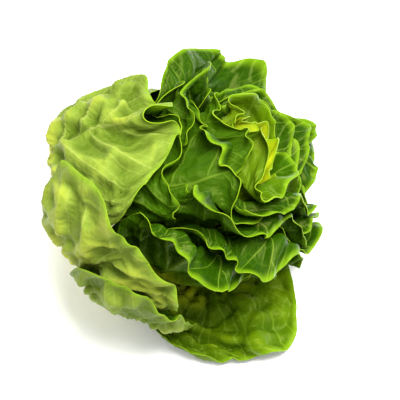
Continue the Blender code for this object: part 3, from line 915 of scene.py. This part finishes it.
def build_leaf(leaf, cells, materials):
    """A leaf as one object, with its maps, its thickness and its materials."""
    shape = bmesh.new()
    bmesh.ops.create_grid(shape, x_segments=cells[0], y_segments=cells[1], size=1)
    bmesh.ops.reverse_faces(shape, faces=shape.faces)
    flat = np.array([vert.co[:2] for vert in shape.verts])
    u, v = flat[:, 0], 1 - (1 - (flat[:, 1] + 1) / 2) ** RIM_CROWDING
    points, thick, across, along, phase, lumps = leaf_surface(leaf, u, v)
    weight = shape.verts.layers.deform.verify()
    for vert, point, share in zip(shape.verts, points, thick / MOST_THICK):
        vert.co = point
        vert[weight][0] = share
    blade = put_in_scene(leaf.name + "_blade", shape, *materials)
    blade.vertex_groups.new(name="thickness")
    add_map(blade.data, "flat", across / FLAT_UNIT + 0.5, along / FLAT_UNIT)
    add_map(blade.data, "veins", phase, v)
    add_map(blade.data, "green", greenness(leaf, v), lumps)
    solid = blade.modifiers.new("other_face", "SOLIDIFY")
    solid.vertex_group = "thickness"
    solid.thickness, solid.offset = MOST_THICK * MM, -1
    solid.material_offset, solid.material_offset_rim = 1, 2
    return blade


print("rows of faces crowd to the rim by a power of", RIM_CROWDING)

# %% [markdown]
# ## The leaf's finish
#
# Veins are drawn from the leaf's own maps. The midrib is the strip near the middle of the flat map, the
# side veins are where the vein number is whole, with finer forks between, and the net is the seams of a
# Voronoi pattern at the net's real size. A painted picture could show them too, but it blurs close up.

# %% Large veins
MIDRIB_MM, MIDRIB_FADES = (4.2, 0.35), 0.85  # half width at the root and near the rim, share of length
# times as many as the vein number counts, shift, and half width (mm)
SIDE_VEINS, FORKS = (1, 0, 0.75), (2, 0.5, 0.5)
FORKS_FROM, FORKS_SHOW = (12.0, 30.0), 0.8  # mm from the midrib, and strength
MIDRIB_EDGE, VEIN_EDGE = 0.6, 0.35  # mm over which a vein fades into the blade
NARROWING = 1.15  # share of the length at which a side vein would end in a point
ACROSS_VEINS = 0.72  # side veins lie closer across themselves than along the midrib


def line(tree, distance, half_width, edge):
    """1 on a line and 0 away from it, from the distance to it in mm."""
    low, high = (add(tree, "Math", (half_width, edge), operation=which) for which in ("SUBTRACT", "ADD"))
    return add(tree, "MapRange", (distance, low, high, 1, 0), interpolation_type="SMOOTHSTEP")


def large_veins(tree, flat, number, out):
    """The midrib and the side veins, narrower towards the rim, as a mask from 0 to 1."""
    aside = add(tree, "SeparateXYZ", (flat,))
    for operation, by in (("SUBTRACT", 0.5), ("ABSOLUTE", 0), ("MULTIPLY", FLAT_UNIT)):
        aside = add(tree, "Math", (aside, by), operation=operation)
    width = add(tree, "MapRange", (out, 0, MIDRIB_FADES, *MIDRIB_MM))
    strong = line(tree, aside, width, MIDRIB_EDGE)
    narrower = add(tree, "Math", (NARROWING, out), operation="SUBTRACT")
    far_out = add(tree, "MapRange", (aside, *FORKS_FROM, 0, FORKS_SHOW))
    for times, shift, half_width, shown in ((*SIDE_VEINS, 1), (*FORKS, far_out)):
        off = add(tree, "Math", (number, times, shift), operation="MULTIPLY_ADD")
        off = add(tree, "Math", (off, 0.5), operation="PINGPONG")
        off = add(tree, "Math", (off, VEIN_SPACING * ACROSS_VEINS / times), operation="MULTIPLY")
        half = add(tree, "Math", (narrower, half_width), operation="MULTIPLY")
        vein = line(tree, off, half, VEIN_EDGE)
        vein = add(tree, "Math", (vein, shown), operation="MULTIPLY")
        strong = add(tree, "Math", (strong, vein), operation="MAXIMUM")
    return strong


print("side veins every", VEIN_SPACING, "mm")

# %% Net of fine veins
# mesh (mm), then width and strength of its lines, then width and form of the domes between them
NET = (5.0, 0.09, 0.18, 0.45, "SMOOTHSTEP")
FINE_NET = (2.2, 0.14, 0.06, 0.4, "LINEAR")
FINE_DOMES = 0.25  # height of the small domes for one of the large ones


def vein_mask(tree, flat, number, out):
    """Where the veins are (0 to 1), and the height of the blade between the veins of the net."""
    strong = mask = large_veins(tree, flat, number, out)
    domes = []
    for size, width, shown, dome_width, form in (NET, FINE_NET):
        seams = add(tree, "TexVoronoi", {"Vector": flat, "Scale": FLAT_UNIT / size},
                    feature="DISTANCE_TO_EDGE", voronoi_dimensions="2D")
        seen = add(tree, "MapRange", (seams, 0, width, shown, 0))
        mask = add(tree, "Math", (mask, seen), operation="MAXIMUM")
        domes.append(add(tree, "MapRange", (seams, 0, dome_width), interpolation_type=form))
    height = add(tree, "Math", (domes[1], FINE_DOMES, domes[0]), operation="MULTIPLY_ADD")
    off_veins = add(tree, "Math", (1, strong), operation="SUBTRACT")
    return mask, add(tree, "Math", (height, off_veins), operation="MULTIPLY")


print("nets of", NET[0], "mm and", FINE_NET[0], "mm")

# %% [markdown]
# A lettuce leaf has a thin wax skin, wet from rinsing, over green tissue that light passes through.
# Principled gives the skin, with the index of water, and a Translucent shader mixed in carries the light
# from behind. One plain colour would look like plastic, so its green comes unevenly from the maps.

# %% Finish of a leaf
MOTTLE_MM, MOTTLE = 14.0, 0.30  # size and strength of the uneven green
EDGE_FROM, EDGE_SHOWS = 0.965, 0.7
WATER_IOR, SKIN_GLOSS = 1.33, 0.26
# painted reflection: the wet skin's shine is tinted yellow-green, as though it mirrored nothing but
# leaves
PAINTED_REFLECTION_TINT = "#e6ee7c"  # what the wet skin mirrors is mostly other leaves


def leaf_finish(name, colours, vein, vein_share, edge, roughness, bump_mm, through, paler_tops_and_painted_shade):
    """A face of a leaf: colours from root to full green, veins, shine, glow, and painted shade in
    hollows.
    """
    made, tree = new_material(name)
    flat = add(tree, "UVMap", uv_map="flat")
    veins, green = (add(tree, "SeparateXYZ", (add(tree, "UVMap", uv_map=each),))
                    for each in ("veins", "green"))
    out = veins.outputs["Y"]
    mask, height = vein_mask(tree, flat, veins, out)
    mottle = add(tree, "TexNoise", {
        "Vector": flat, "Scale": FLAT_UNIT / MOTTLE_MM, "Detail": 3.0}, noise_dimensions="2D")
    mottle = add(tree, "Math", (mottle, MOTTLE, -MOTTLE / 2), operation="MULTIPLY_ADD")
    # the green deepens in the hollows between puffs and pales on their tops: partly the thinner tissue of
    # a blister, partly painted shade in the creases
    shade = add(tree, "Math", (green.outputs["Y"], paler_tops_and_painted_shade, green), operation="MULTIPLY_ADD")
    shade = add(tree, "Math", (shade, mottle), use_clamp=True)
    ramp = add(tree, "ValToRGB", {"Fac": shade})
    while len(ramp.color_ramp.elements) < len(colours):
        ramp.color_ramp.elements.new(0.5)
    for stop, (place, colour) in zip(ramp.color_ramp.elements, colours):
        stop.position = place
        stop.color = linear(colour)
    seen = add(tree, "Math", (mask, vein_share), operation="MULTIPLY")
    blade = add(tree, "Mix", {"Factor": seen, "A": ramp, "B": linear(vein)}, data_type="RGBA")
    near_edge = add(tree, "MapRange", (out, EDGE_FROM, 1, 0, EDGE_SHOWS),
                    interpolation_type="SMOOTHSTEP")
    coloured = add(tree, "Mix", {
        "Factor": near_edge, "A": blade.outputs["Result"], "B": linear(edge)}, data_type="RGBA")
    bump = add(tree, "Bump", {"Height": height, "Strength": 1.0, "Distance": bump_mm * MM})
    skin = add(tree, "BsdfPrincipled", {
        # the shine carries the painted reflection tint
        "Base Color": coloured.outputs["Result"], "Roughness": roughness, "IOR": WATER_IOR,
        "Specular IOR Level": SKIN_GLOSS, "Specular Tint": linear(PAINTED_REFLECTION_TINT), "Normal": bump})
    glow = add(tree, "BsdfTranslucent", {"Color": coloured.outputs["Result"], "Normal": bump})
    both = add(tree, "MixShader", (through, skin, glow))
    add(tree, "OutputMaterial", {"Surface": both})
    return made


print("green is uneven over", MOTTLE_MM, "mm")

# %% Four faces of a leaf
# wet wax over living leaf: deep green, with broad soft highlights and paler veins
upper_face = leaf_finish(
    "waxy_leaf_upper_face",
    ((0.0, "#c0c287"), (0.22, "#9ba50e"), (0.45, "#547005"), (0.72, "#2c4f02"), (1.0, "#1d3c01")),
    vein="#7f9a2c", vein_share=0.45, edge="#6f9410",
    roughness=0.30, bump_mm=0.14, through=0.08, paler_tops_and_painted_shade=-0.05)
# the underside of an outer leaf has air under its skin: paler and duller, with veins that stand out
pale_underside = leaf_finish(
    "matte_pale_underside",
    ((0.0, "#dede98"), (0.25, "#c8cc50"), (0.5, "#98a234"), (0.75, "#6c802a"), (1.0, "#4a6014")),
    vein="#a4ac5c", vein_share=0.32, edge="#6f901c",
    roughness=0.44, bump_mm=-0.28, through=0.10, paler_tops_and_painted_shade=0.10)
# the underside of a leaf that is green on both faces: a little duller than its upper face
green_underside = leaf_finish(
    "matte_green_underside",
    ((0.0, "#bcbf87"), (0.22, "#96a114"), (0.45, "#597008"), (0.72, "#355404"), (1.0, "#284702")),
    vein="#637c22", vein_share=0.45, edge="#5d7f0b",
    roughness=0.38, bump_mm=-0.2, through=0.08, paler_tops_and_painted_shade=0.05)
# the thin edge lets light through, so it draws a bright line round each leaf
rim_face = leaf_finish(
    "thin_leaf_edge",
    ((0.0, "#cbcd96"), (0.5, "#92aa2b"), (1.0, "#7ea01d")),
    vein="#96aa3c", vein_share=0.3, edge="#7e9d1a",
    roughness=0.35, bump_mm=0.1, through=0.20, paler_tops_and_painted_shade=0.0)
print("leaf finishes", upper_face.name, pale_underside.name, green_underside.name, rim_face.name)

# %% [markdown]
# ## Every leaf
#
# Each fine leaf takes the place of one solid and rides on the head's only body. The outer leaves are the
# largest, so they get the most faces. The pale ones wrapped the head, with their undersides out.

# %% Make every leaf
OUTER_CELLS, INNER_CELLS, HEART_CELLS = (112, 80), (92, 64), (72, 48)
HEART_LEAVES = 4
SLOTS = {
    "leaf_green": ("leaf_floor", "leaf_front_outer", "leaf_right", "leaf_top", "leaf_far", "leaf_front"),
    "leaf_pale": ("leaf_left", "leaf_left_back", "leaf_front_low", "leaf_back", "leaf_right_low"),
    "leaf_inner": tuple(leaf.name for leaf in inner_leaves[HEART_LEAVES:]),
    "leaf_heart": tuple(leaf.name for leaf in inner_leaves[:HEART_LEAVES]),
}

for slot, names in SLOTS.items():
    cells = {"leaf_inner": INNER_CELLS, "leaf_heart": HEART_CELLS}.get(slot, OUTER_CELLS)
    underside = pale_underside if slot == "leaf_pale" else green_underside
    for leaf in leaves:
        if leaf.name in names:
            blade = build_leaf(leaf, cells, (upper_face, underside, rim_face))
            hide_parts(leaf.name)
            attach(blade, "root")
    print(slot, len(names), "leaves of", cells, "cells")

# %% [markdown]
# ## Stem
#
# The cut stem is watery white flesh with tougher fibres, which dry first and stand out. One noise as
# fine as the fibres gives both the cream spots and the pits of the cut.

# %% Stem
FIBRE_MM, PIT_MM = 1.6, 0.3

# wet plant flesh: cream white, dull where it has dried, with a fine grain
stem_white, tree = new_material("cut_lettuce_stem")
place = add(tree, "TexCoord").outputs["Object"]
fibres = add(tree, "TexNoise", {"Vector": place, "Scale": 1 / (FIBRE_MM * MM), "Detail": 4.0})
ramp = add(tree, "ValToRGB", {"Fac": fibres})
for stop, position, colour in zip(ramp.color_ramp.elements, (0.35, 0.6), ("#d8cfa0", "#eef0cf")):
    stop.position = position
    stop.color = linear(colour)
bump = add(tree, "Bump", {"Height": fibres, "Strength": 0.6, "Distance": PIT_MM * MM})
flesh = add(tree, "BsdfPrincipled", {"Base Color": ramp, "Roughness": 0.5, "Normal": bump})
add(tree, "OutputMaterial", {"Surface": flesh})

stump = put_in_scene("stem_stump", turned_stem(), stem_white)
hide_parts("stem")
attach(stump, "root")
print("stem of", len(stump.data.polygons), "faces")

# %% [markdown]
# ## Drops of water
#
# The head was rinsed, and a few small drops still sit on it. Each is a flattened ball that sinks a little
# into the blade, so it meets it at the low angle of water on wax. A bump couldn't bend the light from
# what lies under it, as a drop does.

# %% Drops
DROPS_SEED, DROPS_PER_LEAF = 5, 5
DROP_RADIUS = (0.5, 1.1)  # mm
DROP_FLATNESS, DROP_SINK = 0.55, 0.2  # height and depth in the blade, as shares of the radius
DROPS_ACROSS, DROPS_OUT = 0.7, (0.55, 0.93)  # where on a leaf they sit, as shares
NEARBY = 0.01  # share of a leaf to the points that its slope under a drop is read from
WET_LEAVES = {"leaf_left": -1, "leaf_left_back": -1, "leaf_floor": 1, "leaf_front": 1, "leaf_top": 1,
              "leaf_far": 1, "leaf_front_outer": 1, "leaf_right": 1}  # and their face that is up

# still water: no colour and no grain of its own, only a mirror's shine
water, tree = new_material("clear_water")
clear = add(tree, "BsdfPrincipled", {
    "Base Color": linear("#ffffff"), "Roughness": 0.02, "IOR": WATER_IOR, "Transmission Weight": 1.0})
add(tree, "OutputMaterial", {"Surface": clear})

rng = np.random.default_rng(DROPS_SEED)
shape = bmesh.new()
for leaf in (leaf for leaf in leaves if leaf.name in WET_LEAVES):
    u = rng.uniform(-DROPS_ACROSS, DROPS_ACROSS, DROPS_PER_LEAF)
    v = rng.uniform(*DROPS_OUT, DROPS_PER_LEAF)
    points, thick, *_ = leaf_surface(leaf, u, v)
    outwards = leaf_surface(leaf, u, v + NEARBY)[0] - points
    up = square_to(outwards, leaf_surface(leaf, u + NEARBY, v)[0] - points)
    if WET_LEAVES[leaf.name] < 0:
        points, up = points - up * (thick * MM)[:, None], -up
    for point, normal, radius in zip(points, up, rng.uniform(*DROP_RADIUS, DROPS_PER_LEAF) * MM):
        centre = Vector(point) + Vector(normal) * radius * (DROP_FLATNESS - DROP_SINK) * 0.5
        size = Vector((1, 1, DROP_FLATNESS)) * radius
        place = Matrix.LocRotScale(centre, Vector(normal).to_track_quat("Z", "Y"), size)
        bmesh.ops.create_uvsphere(shape, u_segments=20, v_segments=12, radius=1, matrix=place)
drops = put_in_scene("water_drops", shape, water)
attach(drops, "root")
print(len(WET_LEAVES) * DROPS_PER_LEAF, "drops")

# %% [markdown]
# ## Sizes and end
#
# Both boxes, of the solids and of the visual model, are printed. The visual model may stand only a
# little proud of the solids.

# %% Sizes
own_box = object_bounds()
for name, box in (("solids", cad_box), ("visual", own_box)):
    print(name, [[round(x / MM, 1) for x in corner] for corner in box])
